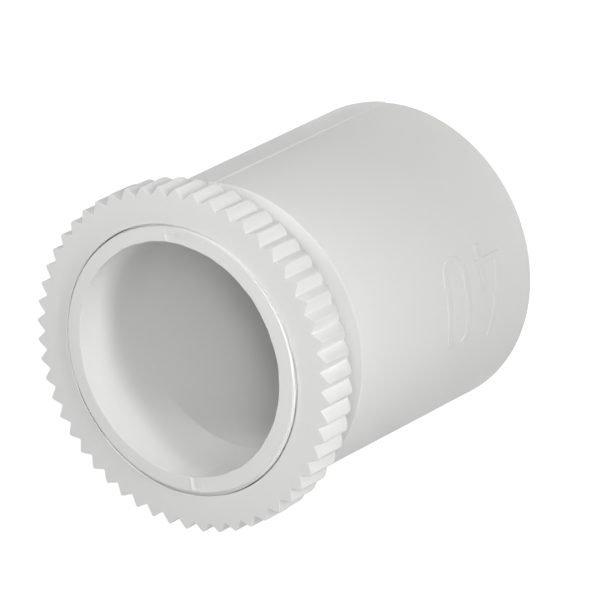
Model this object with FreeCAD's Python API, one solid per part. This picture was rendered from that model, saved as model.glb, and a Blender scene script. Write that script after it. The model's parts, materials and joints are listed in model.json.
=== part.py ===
import FreeCAD, Part
import math
import os

from FreeCAD import Vector

# A 40 mm plain-to-screwed conduit adaptor with its lock ring.
# The adaptor stands on the mouth of its socket. The origin is the centre of that mouth, and +Z runs
# along the adaptor's axis, from the socket up to the end of the threaded spigot.
# All sizes are in millimetres.

# Driving dimensions of the adaptor body
overall_length = 56.2
spigot_length = 12.5
mouth_diameter = 47.0  # outside, at the mouth of the socket
shoulder_diameter = 45.9  # outside, at the shoulder
mouth_edge_radius = 0.6
socket_diameter = 40.2
socket_lead_in = 0.4
stop_thickness = 2.5  # the conduit stop, from the shoulder's plane inwards
passage_stop_diameter = 35.4  # the passage tapers from the stop to the spigot's end
passage_end_diameter = 34.8

# Driving dimensions of the M40 x 1.5 thread
thread_crest_diameter = 39.9
thread_root_diameter = 38.16
thread_pitch = 1.5
crest_flat = 0.18
flank_angle = 30.0
plain_neck = 2.0  # unthreaded neck next to the shoulder
crest_clearance = 0.08  # radial, between the ring's thread and the spigot's
flank_clearance = 0.09  # along the axis

# Driving dimensions of the lock ring
ring_width = 6.6
ring_recess = 0.6  # the spigot's end stands this far out of the ring
ring_tip_diameter = 51.0
tooth_depth = 1.3
tooth_count = 54
tooth_tip_flat = 0.26
ring_back_radius = 1.5  # the teeth are rounded off towards the shoulder
ring_countersink = 0.35
ring_turn = 1.9  # degrees from +X to the first tooth

# Places along the axis
shoulder_z = overall_length - spigot_length
stop_z = shoulder_z - stop_thickness
ring_top_z = overall_length - ring_recess
ring_bottom_z = ring_top_z - ring_width

# The spigot's ridges, counted up from the plain neck; the lead-in chamfer trims the last one
crest_radius = thread_crest_diameter / 2
root_radius = thread_root_diameter / 2
flank_run = math.tan(math.radians(flank_angle))
first_ridge_z = shoulder_z + plain_neck + thread_pitch / 2
ridge_count = int((overall_length - shoulder_z - plain_neck) / thread_pitch)
ridges = [first_ridge_z + thread_pitch * turn for turn in range(ridge_count)]


def point(radius, z):
    """A point of a profile in the XZ plane."""
    return Vector(radius, 0, z)


def turned(edges):
    """The solid that a closed chain of edges in the XZ plane sweeps round the Z axis."""
    face = Part.Face(Part.Wire(edges))
    return face.revolve(Vector(0, 0, 0), Vector(0, 0, 1), 360)


def lines(points):
    """Straight edges through the points in turn."""
    return [Part.LineSegment(a, b).toShape() for a, b in zip(points, points[1:])]


def quarter_round(start, end, centre, radius):
    """A round edge from start to end, a quarter turn about centre."""
    middle = (start + end) * 0.5 - centre
    middle.normalize()
    return Part.Arc(start, centre + middle * radius, end).toShape()


def half_width(radius):
    """Half the thickness of one of the spigot's ridges at a given radius."""
    return crest_flat / 2 + (crest_radius - radius) * flank_run


def adaptor_body():
    """Socket, conduit stop, shoulder and threaded spigot, turned as one moulding."""
    mouth_r = mouth_diameter / 2
    shoulder_r = shoulder_diameter / 2
    socket_r = socket_diameter / 2
    edge = mouth_edge_radius

    edge_start = point(mouth_r - edge, 0)
    edge_end = point(mouth_r, edge)
    outside = [edge_end, point(shoulder_r, shoulder_z), point(root_radius, shoulder_z)]
    for z in ridges:
        outside.append(point(root_radius, z - half_width(root_radius)))
        outside.append(point(crest_radius, z - half_width(crest_radius)))
        outside.append(point(crest_radius, z + half_width(crest_radius)))
        outside.append(point(root_radius, z + half_width(root_radius)))
    outside.append(point(root_radius, overall_length))

    inside = [
        outside[-1],
        point(passage_end_diameter / 2, overall_length),
        point(passage_stop_diameter / 2, stop_z),
        point(socket_r, stop_z),
        point(socket_r, socket_lead_in),
        point(socket_r + socket_lead_in, 0),
        edge_start,
    ]
    corner = point(mouth_r - edge, edge)
    body = turned([quarter_round(edge_start, edge_end, corner, edge)] + lines(outside) + lines(inside))
    return body.cut(lead_in_chamfer())


def lead_in_chamfer():
    """What a 45 degree chamfer takes off the last ridge, so that the ring starts on the thread."""
    rise = crest_radius - root_radius
    corners = [
        point(root_radius, overall_length),
        point(crest_radius, overall_length - rise),
        point(crest_radius + rise, overall_length - rise),
        point(crest_radius + rise, overall_length + rise),
        point(root_radius, overall_length + rise),
    ]
    return turned(lines(corners + [corners[0]]))


def ring_blank():
    """The ring before its teeth are cut: a disc with a rounded back edge and a threaded bore."""
    tip_r = ring_tip_diameter / 2
    crown_r = root_radius + crest_clearance
    groove_r = crest_radius + crest_clearance
    mouth_r = groove_r + ring_countersink
    countersink = mouth_r - crown_r

    back_start = point(tip_r, ring_bottom_z + ring_back_radius)
    back_end = point(tip_r - ring_back_radius, ring_bottom_z)
    corner = point(tip_r - ring_back_radius, ring_bottom_z + ring_back_radius)
    back = quarter_round(back_start, back_end, corner, ring_back_radius)
    rest = [
        back_end,
        point(mouth_r, ring_bottom_z),
        point(crown_r, ring_bottom_z + countersink),
        point(crown_r, ring_top_z - countersink),
        point(mouth_r, ring_top_z),
        point(tip_r, ring_top_z),
        back_start,
    ]
    blank = turned([back] + lines(rest))
    for z in ridges:
        if z + thread_pitch > ring_bottom_z:
            blank = blank.cut(groove(z, groove_r))
    return blank


def groove(z, floor_radius):
    """The space that one of the spigot's ridges needs in the ring, with running clearance."""
    base = half_width(root_radius) + flank_clearance
    floor = half_width(floor_radius) + flank_clearance
    corners = [
        point(root_radius, z - base),
        point(floor_radius, z - floor),
        point(floor_radius, z + floor),
        point(root_radius, z + base),
    ]
    return turned(lines(corners + [corners[0]]))


def toothed_prism():
    """A prism whose outline is the ring's row of V-shaped teeth."""
    tip_r = ring_tip_diameter / 2
    valley_r = tip_r - tooth_depth
    step = 2 * math.pi / tooth_count
    tip_half_angle = tooth_tip_flat / 2 / tip_r

    corners = []
    for tooth in range(tooth_count):
        middle = math.radians(ring_turn) + tooth * step
        for radius, angle in (
            (tip_r, middle - tip_half_angle),
            (tip_r, middle + tip_half_angle),
            (valley_r, middle + step / 2),
        ):
            corners.append(Vector(radius * math.cos(angle), radius * math.sin(angle), ring_bottom_z))
    outline = Part.Wire(lines(corners + [corners[0]]))
    return Part.Face(outline).extrude(Vector(0, 0, ring_width))


def lock_ring():
    """The ring nut with its teeth."""
    return ring_blank().common(toothed_prism())


def save(node, shape):
    """Check one node's shape and write it as parts/NODE.step."""
    solids = shape.Solids
    if len(solids) != 1 or not solids[0].isValid():
        raise ValueError(node + " is not one valid solid")
    solids[0].exportStep("parts/" + node + ".step")
    print(node, "volume", round(solids[0].Volume, 1), "mm3, size", solids[0].BoundBox)


os.makedirs("parts", exist_ok=True)
save("adaptor_body", adaptor_body())
save("lock_ring", lock_ring())
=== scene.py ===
import json
import math

import bmesh
import bpy
from mathutils import Matrix, Vector


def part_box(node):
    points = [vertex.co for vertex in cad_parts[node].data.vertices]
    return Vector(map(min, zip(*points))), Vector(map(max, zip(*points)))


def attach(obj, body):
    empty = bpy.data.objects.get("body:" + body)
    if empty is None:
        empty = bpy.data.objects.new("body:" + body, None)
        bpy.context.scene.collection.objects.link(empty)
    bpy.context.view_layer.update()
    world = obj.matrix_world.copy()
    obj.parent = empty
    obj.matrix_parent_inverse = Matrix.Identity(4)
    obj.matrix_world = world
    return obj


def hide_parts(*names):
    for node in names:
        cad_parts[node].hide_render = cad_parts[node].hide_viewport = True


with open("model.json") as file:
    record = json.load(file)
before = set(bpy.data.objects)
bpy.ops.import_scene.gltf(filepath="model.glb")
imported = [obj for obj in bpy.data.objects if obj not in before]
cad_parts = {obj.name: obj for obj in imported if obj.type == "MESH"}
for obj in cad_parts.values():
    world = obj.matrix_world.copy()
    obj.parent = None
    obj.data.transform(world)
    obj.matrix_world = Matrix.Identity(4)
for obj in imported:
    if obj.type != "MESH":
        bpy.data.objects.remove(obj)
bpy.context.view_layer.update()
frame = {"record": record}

# ---- White PVC ----------------------------------------------------------------------------------
# The finish of both mouldings: rigid PVC filled with white pigment, satin where it met the polished
# mould. It is very slightly cloudy, and light goes a little way into it.
mm = 0.001
pvc_white = (0.92, 0.92, 0.91, 1)
pvc_cloud = (0.90, 0.90, 0.89, 1)
pvc_ior = 1.53
pvc_gloss = 0.2  # a moulded face scatters most of what a polished one would reflect
pvc_light_share = 0.12  # of the light that falls on it goes in and comes out again
pvc_light_depth = 0.8 * mm
cloud_scale = 90.0
satin_scale = 240.0
satin_range = 0.16
grain_scale = 2600.0
grain_height = 0.012  # mm
flow_scale = 130.0
flow_height = 0.05  # mm


class Wire:
    """A value in a node tree. Arithmetic on it adds the Math nodes that work it out."""

    def __init__(self, tree, socket):
        self.tree = tree
        self.socket = socket

    def math(self, operation, *others):
        node = self.tree.nodes.new("ShaderNodeMath")
        node.operation = operation
        for port, value in zip(node.inputs, (self, *others)):
            feed(port, value)
        return Wire(self.tree, node.outputs[0])

    def __add__(self, other):
        return self.math("ADD", other)

    def __sub__(self, other):
        return self.math("SUBTRACT", other)

    def __mul__(self, other):
        return self.math("MULTIPLY", other)

    def __truediv__(self, other):
        return self.math("DIVIDE", other)

    def at_least(self, other):
        return self.math("MAXIMUM", other)

    def at_most(self, other):
        return self.math("MINIMUM", other)

    def between(self, low, high):
        return self.at_least(low).at_most(high)

    def mix(self, other, share):
        """This value where share is 0, the other where it is 1."""
        return self + (other - self) * share


def feed(port, value):
    """Link a wire or a socket to a node's input, or set the input to a plain value."""
    if isinstance(value, Wire):
        value.tree.links.new(value.socket, port)
    elif isinstance(value, bpy.types.NodeSocket):
        port.id_data.links.new(value, port)
    else:
        port.default_value = value


def add_node(tree, kind, settings=None, **inputs):
    """Add a node, set its properties, and feed its inputs, named with _ for a space."""
    node = tree.nodes.new(kind)
    for name, value in (settings or {}).items():
        setattr(node, name, value)
    for name, value in inputs.items():
        feed(node.inputs[name.replace("_", " ")], value)
    return node


def white_pvc(name, satin):
    """Pigmented PVC with faint cloudiness, mould grain and flow marks; satin is its mean roughness."""
    material = bpy.data.materials.new(name)
    material.use_nodes = True
    tree = material.node_tree
    shader = tree.nodes["Principled BSDF"]
    place = add_node(tree, "ShaderNodeTexCoord").outputs["Object"]

    cloud = add_node(tree, "ShaderNodeTexNoise", Vector=place, Scale=cloud_scale, Detail=4.0)
    tint = add_node(tree, "ShaderNodeMix", {"data_type": "RGBA"})
    feed(tint.inputs["Factor"], cloud.outputs["Fac"])
    feed(tint.inputs[6], pvc_white)
    feed(tint.inputs[7], pvc_cloud)
    feed(shader.inputs["Base Color"], tint.outputs[2])

    handling = add_node(tree, "ShaderNodeTexNoise", Vector=place, Scale=satin_scale, Detail=5.0)
    worn = Wire(tree, handling.outputs["Fac"]) * satin_range + (satin - satin_range / 2)
    feed(shader.inputs["Roughness"], worn)

    grain = add_node(tree, "ShaderNodeTexNoise", Vector=place, Scale=grain_scale, Detail=3.0)
    flow = add_node(tree, "ShaderNodeTexNoise", Vector=place, Scale=flow_scale, Detail=2.0)
    relief = (
        Wire(tree, grain.outputs["Fac"]) * grain_height
        + Wire(tree, flow.outputs["Fac"]) * flow_height
    )
    bump = add_node(tree, "ShaderNodeBump", Height=relief, Strength=1.0, Distance=1 * mm)
    feed(shader.inputs["Normal"], bump.outputs["Normal"])

    shader.inputs["IOR"].default_value = pvc_ior
    shader.inputs["Specular IOR Level"].default_value = pvc_gloss
    shader.inputs["Subsurface Weight"].default_value = pvc_light_share
    shader.inputs["Subsurface Radius"].default_value = (1.0, 0.95, 0.85)
    shader.inputs["Subsurface Scale"].default_value = pvc_light_depth
    return material


# ---- Screw threads ------------------------------------------------------------------------------
# A right-hand thread of 1.5 mm pitch, outside on the adaptor's spigot and inside in the lock ring.
# Each is moulded, not cut, so it has flat crests and roots. The spigot's runs out through its end
# face, and the ring's fades out under the chamfers at its ends.
pitch = 1.5 * mm
rows_per_turn = 8
flat_share = 1 / 16  # of the pitch, each side of a crest's or a root's middle
fade_height = 0.3 * mm  # in which a thread rises from a plain wall
spare_turns = 2  # beyond each end of the wall
merge_distance = 0.002 * mm
seam_distance = 0.004 * mm  # between the edges of two meshes that are joined
sliver_length = 0.0005 * mm


def screw_thread_tree():
    """Geometry Nodes for a round wall with a screw thread.

    The grid's columns run up the wall and its rows run along the helix, so that every edge of the
    thread is a row. The rows that would leave the wall lie on its two ends instead.
    """
    tree = bpy.data.node_groups.new("Screw thread", "GeometryNodeTree")
    ports = tree.interface
    for name, kind in (
        ("Columns", "Int"),
        ("Gathering", "Float"),
        ("First Column", "Float"),
        ("Low", "Float"),
        ("High", "Float"),
        ("Pitch", "Float"),
        ("Thread Root Height", "Float"),
        ("Plain Radius", "Float"),
        ("Thread Radius", "Float"),
        ("Plain Neck", "Float"),
        ("Rim Radius", "Float"),
        ("Rim Slope", "Float"),
        ("Rim Height", "Float"),
        ("Back Chamfer", "Float"),
        ("Low Edge Radius", "Float"),
        ("High Edge Radius", "Float"),
        ("Material", "Material"),
    ):
        ports.new_socket(name, in_out="INPUT", socket_type="NodeSocket" + kind)
    ports.new_socket("Geometry", in_out="OUTPUT", socket_type="NodeSocketGeometry")
    given = tree.nodes.new("NodeGroupInput")
    size = {port.name: Wire(tree, port) for port in given.outputs if port.name}

    turns = (size["High"] - size["Low"]) / size["Pitch"]
    row_count = (turns.math("CEIL") + 2 * spare_turns) * rows_per_turn
    grid = add_node(
        tree, "GeometryNodeMeshGrid", Size_X=1.0, Size_Y=1.0,
        Vertices_X=size["Columns"] + 1, Vertices_Y=row_count + 1,
    )
    spot = add_node(tree, "GeometryNodeInputPosition").outputs[0]
    spot = add_node(tree, "ShaderNodeSeparateXYZ", Vector=spot)
    across = Wire(tree, spot.outputs["X"]) + 0.5
    row = ((Wire(tree, spot.outputs["Y"]) + 0.5) * row_count).math("ROUND")

    # The columns gather at the two mould parting lines, on +X and on -X
    whole_turn = 2 * math.pi
    gather = (across * (2 * whole_turn)).math("SINE") * size["Gathering"] / 2
    angle = size["First Column"] + across * whole_turn - gather
    turn = angle / whole_turn

    rise = (row + 0.5) / rows_per_turn + turn
    first_turn = ((size["Low"] - size["Thread Root Height"]) / size["Pitch"]).math("FLOOR")
    first_turn = first_turn - spare_turns
    height = size["Thread Root Height"] + (rise + first_turn) * size["Pitch"]
    height = height.between(size["Low"], size["High"])

    # Across one turn the thread is a root, a flank, a crest and a flank
    phase = ((height - size["Thread Root Height"]) / size["Pitch"] - turn).math("FRACT")
    from_crest = (phase - 0.5).math("ABSOLUTE")
    flank = (from_crest * -1 + (0.5 - flat_share)) / (0.5 - 2 * flat_share)
    depth = size["Thread Radius"] - size["Plain Radius"]
    thread = size["Plain Radius"] + depth * flank.between(0.0, 1.0)

    neck = ((height - size["Low"] - size["Plain Neck"]) / fade_height).between(0.0, 1.0)
    wall = size["Plain Radius"].mix(thread, neck)

    # The rim is a cone, and the thread fades out below it. A height of minus the fade leaves no rim
    below_end = size["High"] - height
    cone = size["Rim Radius"] + below_end.at_most(size["Rim Height"]) * size["Rim Slope"]
    fade = (below_end - size["Rim Height"]) / fade_height
    wall = cone.mix(wall, fade.between(0.0, 1.0))

    chamfer = size["Plain Radius"] + size["Back Chamfer"] - (height - size["Low"])
    wall = wall.at_least(chamfer.mix(size["Plain Radius"], neck))

    lowest = (row * -1 + 0.5).math("GREATER_THAN", 0.0)
    highest = (row - row_count + 0.5).math("GREATER_THAN", 0.0)
    wall = wall.mix(size["Low Edge Radius"], lowest).mix(size["High Edge Radius"], highest)

    place = add_node(
        tree, "ShaderNodeCombineXYZ",
        X=wall * angle.math("COSINE"), Y=wall * angle.math("SINE"), Z=height,
    )
    moved = add_node(
        tree, "GeometryNodeSetPosition",
        Geometry=grid.outputs["Mesh"], Position=place.outputs[0],
    )
    joined = add_node(
        tree, "GeometryNodeMergeByDistance",
        Geometry=moved.outputs[0], Distance=merge_distance,
    )
    whole = add_node(tree, "GeometryNodeRealizeInstances", Geometry=joined.outputs[0])
    painted = add_node(
        tree, "GeometryNodeSetMaterial",
        Geometry=whole.outputs[0], Material=size["Material"],
    )
    result = tree.nodes.new("NodeGroupOutput")
    feed(result.inputs[0], painted.outputs[0])
    return tree


def grown(tree, base_mesh, sizes):
    """The plain mesh that a Geometry Nodes tree makes of a base mesh with the given sizes."""
    holder = bpy.data.objects.new("holder", base_mesh)
    bpy.context.scene.collection.objects.link(holder)
    modifier = holder.modifiers.new("grow", "NODES")
    modifier.node_group = tree
    for socket in tree.interface.items_tree:
        if socket.in_out == "INPUT" and socket.name in sizes:
            modifier[socket.identifier] = sizes[socket.name]
    graph = bpy.context.evaluated_depsgraph_get()
    mesh = bpy.data.meshes.new_from_object(holder.evaluated_get(graph))
    bpy.data.objects.remove(holder)
    return mesh


def closed_piece(name, meshes, material, sharp_degrees):
    """One piece made by joining open meshes at their edges, with its normals turned outwards."""
    work = bmesh.new()
    for mesh in meshes:
        work.from_mesh(mesh)
        bpy.data.meshes.remove(mesh)
    bmesh.ops.remove_doubles(work, verts=work.verts, dist=seam_distance)
    bmesh.ops.dissolve_degenerate(work, edges=work.edges, dist=sliver_length)
    bmesh.ops.recalc_face_normals(work, faces=work.faces)
    mesh = bpy.data.meshes.new(name)
    work.to_mesh(mesh)
    open_edges = sum(not edge.is_manifold for edge in work.edges)
    print(name, len(work.faces), "faces,", open_edges, "open edges")
    work.free()
    mesh.materials.clear()
    mesh.materials.append(material)
    mesh.shade_smooth()
    mesh.set_sharp_from_angle(angle=math.radians(sharp_degrees))
    piece = bpy.data.objects.new(name, mesh)
    bpy.context.scene.collection.objects.link(piece)
    return piece


screw_thread = screw_thread_tree()

# ---- Adaptor body -------------------------------------------------------------------------------
# One white PVC moulding: a plain socket for the conduit, a stop and a square shoulder at its end,
# and a short threaded spigot. It comes out of a two-part mould with a core from each end, so it has
# two fine parting lines, a little draft, and a bore that is not quite central in the spigot.
mounts = {mount["name"]: mount for mount in frame["record"]["mounts"]}
body_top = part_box("adaptor_body")[1]
parting_height = 0.05 * mm
parting_flash = 0.02 * mm
parting_width = 0.2 * mm
parting_step = 0.12 * mm  # one half of the mould stands this far inside the other
parting_step_reach = 3 * mm  # round the body, as the step dies away
face_step = 0.08 * mm  # and leaves a nick this deep in the end face
face_step_width = 0.6 * mm
face_depth = 0.01 * mm  # what lies less deep than this below the end face belongs to it
end_z = body_top.z - parting_height
mouth_radius = body_top.x
shoulder_z = mounts["shoulder"]["pos_m"][2]
mouth_draft = 0.55 * mm  # how far the outside narrows from the mouth to the shoulder
shoulder_radius = mouth_radius - mouth_draft
socket_radius = mounts["socket"]["dims"]["r_mm"] * mm
outside_start = socket_radius + 1.5 * mm  # what lies outside this radius is the body's outside
socket_lead_in = 0.4 * mm
stop_z = mounts["socket"]["dims"]["length_mm"] * mm + socket_lead_in
crest_radius = mounts["spigot_thread"]["dims"]["r_mm"] * mm
thread_depth = 0.7 * mm
root_radius = crest_radius - thread_depth
neck_length = 2.0 * mm
face_join_radius = 18.95 * mm  # the end face outside this belongs to the threaded wall
face_join_width = 0.1 * mm  # in which the nicks in the end face die out
bore_end_radius = 17.4 * mm
bore_stop_radius = 17.7 * mm
bore_bevel = 0.25 * mm  # the width of the trimmed strip round the bore's end
bore_start = stop_z + 1.0 * mm
bore_limit = 18.0 * mm  # what lies inside this radius, past the bore's start, is the bore
bore_shift = 0.3 * mm  # towards +X, at the spigot's end
bore_raggedness = 0.09 * mm
edge_margin = 0.04 * mm
body_columns = 360
gathering = 0.8
root_turn = 0.418  # turns from +X to where the thread's root runs out through the end face
thread_root_height = end_z - pitch * root_turn


def rounded(corners, margin=0, steps=4):
    """Points along a path whose corners are (x, y, fillet radius).

    A margin adds a point that far beyond each end of a fillet, so that its shading stops there.
    """
    points = []
    for index, (x, y, radius) in enumerate(corners):
        corner = Vector((x, y))
        if radius == 0:
            points.append(corner)
            continue
        before = (Vector(corners[index - 1][:2]) - corner).normalized()
        after = (Vector(corners[index + 1][:2]) - corner).normalized()
        half_angle = before.angle(after) / 2
        centre = corner + (before + after).normalized() * (radius / math.sin(half_angle))
        start = corner + before * (radius / math.tan(half_angle)) - centre
        end = corner + after * (radius / math.tan(half_angle)) - centre
        sweep = start.angle_signed(end)
        turns = [Matrix.Rotation(-sweep * step / steps, 2) for step in range(steps + 1)]
        fillet = [centre + turn @ start for turn in turns]
        if margin:
            fillet = [fillet[0] + before * margin, *fillet, fillet[-1] + after * margin]
        points += fillet
    return points


def body_angle(column):
    """The angle of one of the body's columns, which gather at the parting lines."""
    turn = column / body_columns
    return 2 * math.pi * turn - gathering / 2 * math.sin(4 * math.pi * turn)


def ragged(angle):
    """How far the trimmed edge of the bore strays from its circle, from -1 to 1."""
    waves = ((7, 0.6, 0.30), (13, 2.1, 0.26), (23, 4.4, 0.24), (41, 1.3, 0.20))
    return sum(share * math.sin(count * angle + start) for count, start, share in waves)


def step_down(across, width):
    """From 0 to 1 over a width on the -Y side of a parting line, and then slowly back to 0."""
    share = min(1, max(0, -across / width))
    return share * share * (3 - 2 * share) * math.exp(min(0, across + width) / parting_step_reach)


def moulded_point(radius, z, angle):
    """A point of the body's plain surfaces, with the parting lines and the bore's faults."""
    across = math.sin(angle) * radius
    ridge = math.exp(-(across / parting_width) ** 2)
    shift = 0
    if radius > outside_start:
        radius += parting_flash * ridge - parting_step * step_down(across, parting_width)
    elif z > bore_start and radius < bore_limit:
        share = (z - stop_z) / (end_z - stop_z)
        shift = bore_shift * share
        radius += bore_raggedness * ragged(angle) * share ** 8
    if z > end_z - face_depth and radius < face_join_radius - face_join_width / 2:
        z += parting_height * ridge - face_step * step_down(across, face_step_width)
    return Vector((radius * math.cos(angle) + shift, radius * math.sin(angle), z))


def body_shell():
    """The body's plain surfaces, turned from the spigot's end down the bore and up the outside."""
    profile = rounded([
        (face_join_radius, end_z, 0),
        (face_join_radius - face_join_width, end_z, 0),
        (bore_end_radius + bore_bevel, end_z, 0),
        (bore_end_radius, end_z, 0.05 * mm),
        (bore_stop_radius, stop_z, 0),
        (socket_radius, stop_z, 0.3 * mm),
        (socket_radius, socket_lead_in, 0.2 * mm),
        (socket_radius + socket_lead_in, 0, 0.1 * mm),
        (mouth_radius, 0, 0.6 * mm),
        (shoulder_radius, shoulder_z, 0.12 * mm),
        (root_radius, shoulder_z, 0),
    ], edge_margin)
    work = bmesh.new()
    rings = []
    for radius, z in profile:
        angles = (body_angle(column) for column in range(body_columns))
        rings.append([work.verts.new(moulded_point(radius, z, angle)) for angle in angles])
    for ring, next_ring in zip(rings, rings[1:]):
        for column in range(body_columns):
            beside = (column + 1) % body_columns
            work.faces.new((ring[column], ring[beside], next_ring[beside], next_ring[column]))
    mesh = bpy.data.meshes.new("body shell")
    work.to_mesh(mesh)
    work.free()
    return mesh


body_finish = white_pvc("white_pvc_body", 0.42)
spigot_sizes = {
    "Columns": body_columns,
    "Gathering": gathering,
    "First Column": 0.0,
    "Low": shoulder_z,
    "High": end_z,
    "Pitch": pitch,
    "Thread Root Height": thread_root_height,
    "Plain Radius": root_radius,
    "Thread Radius": crest_radius,
    "Plain Neck": neck_length,
    "Rim Radius": crest_radius,
    "Rim Slope": 0.0,
    "Rim Height": -fade_height,  # no rim: the thread runs out through the end face
    "Back Chamfer": 0.0,
    "Low Edge Radius": root_radius,
    "High Edge Radius": face_join_radius,
    "Material": body_finish,
}
spigot_wall = grown(screw_thread, bpy.data.meshes.new("empty"), spigot_sizes)
body = closed_piece("adaptor_moulding", [body_shell(), spigot_wall], body_finish, 28)
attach(body, "adaptor")
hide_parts("adaptor_body")

# ---- Raised size figures ------------------------------------------------------------------------
# The nominal size in plain figures, engraved in the mould and so raised on the moulding. They are
# read with the socket's mouth to the left. They have straight sides and softened edges.
figure_height = 14.4 * mm
figure_relief = 0.16 * mm
figure_sink = 0.15 * mm  # how far the figures' backs lie inside the wall
figure_edge = 0.12 * mm
figure_stroke = 1.2 * mm
figures_start_z = 7.8 * mm
figures_base_angle = math.radians(-73)
bend_step = 0.4 * mm


def figure_four():
    """An open 4: a slanted stroke, a crossbar, and a short stem through the crossbar."""
    bar_low, bar_high = 2.2 * mm, 3.4 * mm
    bar_right = 6.5 * mm
    stem_left, stem_right = 4.2 * mm, 5.4 * mm
    stem_top = 7.3 * mm
    apex = 2.4 * mm
    slant_right = 1.45 * mm  # where the slanted stroke's right side meets the crossbar
    return [[
        (0, bar_low), (stem_left, bar_low), (stem_left, 0), (stem_right, 0), (stem_right, bar_low),
        (bar_right, bar_low), (bar_right, bar_high), (stem_right, bar_high), (stem_right, stem_top),
        (stem_left, stem_top), (stem_left, bar_high), (slant_right, bar_high),
        (apex + figure_stroke, figure_height), (apex, figure_height), (0, bar_high),
    ]]


def figure_nought():
    """A tall narrow 0: one straight-sided loop inside another."""
    left, right = 8.4 * mm, 14.4 * mm
    end_steps = 12
    loops = []
    for inset in (0, figure_stroke):
        radius = (right - left) / 2 - inset
        centre_x = (left + right) / 2
        loop = []
        for middle, first in ((figure_height - inset - radius, 0), (inset + radius, 180)):
            for step in range(end_steps + 1):
                angle = math.radians(first + 180 * step / end_steps)
                loop.append((centre_x + radius * math.cos(angle), middle + radius * math.sin(angle)))
        loops.append(loop)
    return loops


def flat_figures(outlines):
    """Flat-backed figures with softened edges, standing on the XY plane."""
    curve = bpy.data.curves.new("figures", "CURVE")
    curve.dimensions = "2D"
    curve.fill_mode = "BOTH"
    curve.extrude = (figure_relief + figure_sink) / 2 - figure_edge
    curve.bevel_depth = figure_edge
    curve.offset = -figure_edge
    curve.bevel_resolution = 2
    for outline in outlines:
        spline = curve.splines.new("POLY")
        spline.points.add(len(outline) - 1)
        for point, (x, y) in zip(spline.points, outline):
            point.co = (x, y, 0, 1)
        spline.use_cyclic_u = True
    holder = bpy.data.objects.new("figures", curve)
    bpy.context.scene.collection.objects.link(holder)
    graph = bpy.context.evaluated_depsgraph_get()
    mesh = bpy.data.meshes.new_from_object(holder.evaluated_get(graph))
    bpy.data.objects.remove(holder)
    return mesh


def bend_onto_body(mesh):
    """Cut the figures into narrow strips along their height and bend them round the body."""
    work = bmesh.new()
    work.from_mesh(mesh)
    for cut in range(1, math.ceil(figure_height / bend_step)):
        bmesh.ops.bisect_plane(
            work, geom=[*work.verts, *work.edges, *work.faces],
            plane_co=(0, cut * bend_step, 0), plane_no=(0, 1, 0),
        )
    for vertex in work.verts:
        z = figures_start_z + vertex.co.x
        lean = (mouth_radius - shoulder_radius) * z / shoulder_z
        wall_radius = mouth_radius - lean
        radius = wall_radius + vertex.co.z + (figure_relief - figure_sink) / 2
        angle = figures_base_angle - vertex.co.y / wall_radius
        vertex.co = (radius * math.cos(angle), radius * math.sin(angle), z)
    work.to_mesh(mesh)
    work.free()
    return mesh


figures_mesh = bend_onto_body(flat_figures(figure_four() + figure_nought()))
figures = closed_piece("raised_size_figures", [figures_mesh], body_finish, 40)
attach(figures, "adaptor")

# ---- Lock ring ----------------------------------------------------------------------------------
# A white PVC ring nut that draws the box's wall against the shoulder. It is moulded with 54 V-shaped
# teeth to grip it by, rounded off at the back, and its bore is chamfered at the front.
ring_low, ring_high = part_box("lock_ring")
ring_bottom_z = ring_low.z
ring_top_z = ring_high.z
tip_radius = 25.5 * mm
tooth_count = 54
tooth_depth = 1.3 * mm
tooth_tip_flat = 0.26 * mm
tooth_root_flat = 0.14 * mm
tooth_softness = 0.12 * mm
first_tooth = math.radians(1.9)
back_rounding = 1.5 * mm
back_steps = 8
flank_part = 0.2 * mm  # the teeth's flanks are divided at about this length
front_edge = 0.04 * mm
columns_per_tooth = 6
join_radius = 20.9 * mm  # where the toothed rim meets the threaded wall, on both faces


def tooth_outline():
    """One tooth from valley to valley, middle on +X, as points with their flanks divided."""
    half_step = math.pi / tooth_count
    valley_radius = tip_radius - tooth_depth
    tip_angle = tooth_tip_flat / 2 / tip_radius
    root_angle = half_step - tooth_root_flat / 2 / valley_radius
    corners = []
    for radius, angle, softness in (
        (valley_radius, -half_step, 0),
        (valley_radius, -root_angle, tooth_softness),
        (tip_radius, -tip_angle, tooth_softness),
        (tip_radius, tip_angle, tooth_softness),
        (valley_radius, root_angle, tooth_softness),
        (valley_radius, half_step, 0),
    ):
        corners.append((radius * math.cos(angle), radius * math.sin(angle), softness))
    points = []
    for start, end in zip(rounded(corners), rounded(corners)[1:]):
        parts = max(1, round((end - start).length / flank_part))
        points += [start.lerp(end, part / parts) for part in range(parts)]
    return points + [Vector(corners[-1][:2])]


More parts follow.
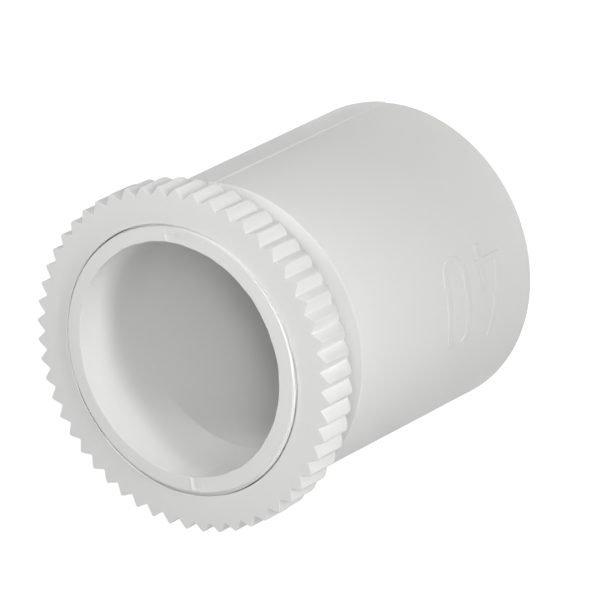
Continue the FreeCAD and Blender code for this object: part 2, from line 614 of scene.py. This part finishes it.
def tooth_sector():
    """One tooth's share of the ring's rim: its back, its rounding, its flanks and its front."""
    outline = tooth_outline()
    levels = []
    for step in range(back_steps + 1):
        angle = math.radians(90) * step / back_steps
        reach = tip_radius - back_rounding * (1 - math.sin(angle))
        levels.append((ring_bottom_z + back_rounding * (1 - math.cos(angle)), reach, 0))
    levels.append((ring_top_z - front_edge, tip_radius, 0))
    levels.append((ring_top_z, tip_radius, front_edge))

    work = bmesh.new()
    rows = []
    for z, reach, inset in levels:
        row = []
        for point in outline:
            radius = min(point.length, reach) - inset
            row.append(work.verts.new((*(point.normalized() * radius), z)))
        rows.append(row)
    for row, next_row in zip(rows, rows[1:]):
        for index in range(len(outline) - 1):
            work.faces.new((row[index], row[index + 1], next_row[index + 1], next_row[index]))
    for row, z in ((rows[0], ring_bottom_z), (rows[-1], ring_top_z)):
        inner = []
        for column in range(columns_per_tooth + 1):
            angle = 2 * math.pi / tooth_count * (column / columns_per_tooth - 0.5)
            x, y = join_radius * math.cos(angle), join_radius * math.sin(angle)
            inner.append(work.verts.new((x, y, z)))
        work.faces.new(row + inner[::-1])
    mesh = bpy.data.meshes.new("tooth sector")
    work.to_mesh(mesh)
    work.free()
    return mesh


def toothed_rim_tree():
    """Geometry Nodes that set copies of one tooth's sector side by side round the Z axis."""
    tree = bpy.data.node_groups.new("Toothed rim", "GeometryNodeTree")
    for name, kind in (
        ("Tooth", "Geometry"),
        ("Teeth", "Int"),
        ("First Tooth", "Float"),
        ("Material", "Material"),
    ):
        tree.interface.new_socket(name, in_out="INPUT", socket_type="NodeSocket" + kind)
    tree.interface.new_socket("Geometry", in_out="OUTPUT", socket_type="NodeSocketGeometry")
    given = tree.nodes.new("NodeGroupInput")
    size = {port.name: Wire(tree, port) for port in given.outputs if port.name}

    points = add_node(tree, "GeometryNodeMeshLine", Count=size["Teeth"])
    feed(points.inputs["Offset"], (0.0, 0.0, 0.0))
    index = Wire(tree, add_node(tree, "GeometryNodeInputIndex").outputs[0])
    angle = size["First Tooth"] + index / size["Teeth"] * (2 * math.pi)
    turned = add_node(tree, "ShaderNodeCombineXYZ", Z=angle)
    teeth = add_node(
        tree, "GeometryNodeInstanceOnPoints",
        Points=points.outputs[0], Instance=size["Tooth"], Rotation=turned.outputs[0],
    )
    whole = add_node(tree, "GeometryNodeRealizeInstances", Geometry=teeth.outputs[0])
    painted = add_node(
        tree, "GeometryNodeSetMaterial",
        Geometry=whole.outputs[0], Material=size["Material"],
    )
    result = tree.nodes.new("NodeGroupOutput")
    feed(result.inputs[0], painted.outputs[0])
    return tree


ring_finish = white_pvc("white_pvc_ring", 0.46)
rim_sizes = {"Teeth": tooth_count, "First Tooth": first_tooth, "Material": ring_finish}
toothed_rim = grown(toothed_rim_tree(), tooth_sector(), rim_sizes)
ring_bore_radius = crest_radius + 0.08 * mm  # clear of the spigot's crests all round
ring_groove_depth = 0.25 * mm
lip_radius = 20.15 * mm
bore_sizes = {
    "Columns": tooth_count * columns_per_tooth,
    "Gathering": 0.0,
    "First Column": first_tooth - math.pi / tooth_count,
    "Low": ring_bottom_z,
    "High": ring_top_z,
    "Pitch": pitch,
    "Thread Root Height": thread_root_height,
    "Plain Radius": ring_bore_radius,
    "Thread Radius": ring_bore_radius + ring_groove_depth,
    "Plain Neck": 0.0,
    "Rim Radius": lip_radius,
    "Rim Slope": -1.0,
    "Rim Height": lip_radius - ring_bore_radius,
    "Back Chamfer": 0.35 * mm,
    "Low Edge Radius": join_radius,
    "High Edge Radius": join_radius,
    "Material": ring_finish,
}
ring_wall = grown(screw_thread, bpy.data.meshes.new("empty"), bore_sizes)
ring = closed_piece("toothed_lock_ring", [toothed_rim, ring_wall], ring_finish, 32)
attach(ring, "ring")
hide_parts("lock_ring")

# ---- Floor, light and camera --------------------------------------------------------------------
# A pale floor under the socket's mouth, soft lamps round the part, and a long-lens camera that looks
# down on the spigot's end.
floor_radius = 3.0
floor_colour = (0.82, 0.82, 0.82, 1)
floor_glow = 0.8
lamp_target = Vector((0, 0, 56 * mm))
lamp_distance = 0.32
lamp_width = 0.14
lamp_height = 0.042
lamp_spread = math.radians(45)


def direction(azimuth, elevation):
    """The way from the part to a place at this azimuth, from -Y towards +X, and elevation."""
    a, e = math.radians(azimuth), math.radians(elevation)
    return Vector((math.sin(a) * math.cos(e), -math.cos(a) * math.cos(e), math.sin(e)))


def seen(tree):
    """1 for rays that show the surroundings, straight, mirrored or through glass; 0 for light."""
    light_path = add_node(tree, "ShaderNodeLightPath")
    straight = Wire(tree, light_path.outputs["Is Camera Ray"])
    mirrored = Wire(tree, light_path.outputs["Is Glossy Ray"])
    through = Wire(tree, light_path.outputs["Is Transmission Ray"])
    return straight.at_least(mirrored).at_least(through)


def floor():
    """A wide disc, white to the camera, that still takes the part's shadow."""
    mesh = bpy.data.meshes.new("floor")
    work = bmesh.new()
    bmesh.ops.create_circle(work, cap_ends=True, radius=floor_radius, segments=64)
    work.to_mesh(mesh)
    work.free()
    material = bpy.data.materials.new("pale_floor")
    material.use_nodes = True
    tree = material.node_tree
    shader = tree.nodes["Principled BSDF"]
    shader.inputs["Base Color"].default_value = floor_colour
    shader.inputs["Roughness"].default_value = 0.9
    shader.inputs["Emission Color"].default_value = (1, 1, 1, 1)
    feed(shader.inputs["Emission Strength"], seen(tree) * floor_glow)
    mesh.materials.append(material)
    thing = bpy.data.objects.new("floor", mesh)
    bpy.context.scene.collection.objects.link(thing)


def lamp(name, azimuth, elevation, power, distance=lamp_distance, width=lamp_width):
    """A soft lamp that faces the ring's end of the part."""
    light = bpy.data.lights.new(name, "AREA")
    light.shape = "RECTANGLE"
    light.size = width
    light.size_y = lamp_height
    light.spread = lamp_spread
    light.energy = power
    thing = bpy.data.objects.new(name, light)
    thing.location = lamp_target + direction(azimuth, elevation) * distance
    thing.rotation_mode = "QUATERNION"
    thing.rotation_quaternion = direction(azimuth, elevation).to_track_quat("Z", "Y")
    bpy.context.scene.collection.objects.link(thing)


def white_world(strength):
    """Even light from all round, with a plain white background."""
    world = bpy.data.worlds.new("studio")
    bpy.context.scene.world = world
    world.use_nodes = True
    tree = world.node_tree
    background = tree.nodes["Background"]
    background.inputs["Color"].default_value = (1, 1, 1, 1)
    feed(background.inputs["Strength"], seen(tree) * (1 - strength) + strength)


def camera():
    """The camera, turned on its side so that the part's axis slants across the view."""
    view_azimuth, view_elevation, view_roll = 26.49, 50.28, -116.5
    view_distance = 659.6 * mm
    data = bpy.data.cameras.new("camera")
    data.lens = 271.3
    data.sensor_width = 36
    thing = bpy.data.objects.new("camera", data)
    aim = Vector((0.17 * mm, 0.08 * mm, 26.0 * mm))
    thing.matrix_world = (
        Matrix.Translation(aim + direction(view_azimuth, view_elevation) * view_distance)
        @ Matrix.Rotation(math.radians(view_azimuth), 4, "Z")
        @ Matrix.Rotation(math.radians(90 - view_elevation), 4, "X")
        @ Matrix.Rotation(math.radians(view_roll), 4, "Z")
    )
    bpy.context.scene.collection.objects.link(thing)
    bpy.context.scene.camera = thing


floor()
white_world(0.1)
lamp("key_lamp", 24, 47, 0.0175)
lamp("near_lamp", 30, 46, 0.0093, distance=0.22, width=0.10)
lamp("low_lamp", 20, 12, 0.0218)
lamp("left_lamp", 325, 12, 0.0115)
lamp("right_lamp", 112, 38, 0.022)
lamp("back_lamp", 206, 5, 0.016)
camera()
bpy.context.scene.view_settings.view_transform = "Standard"
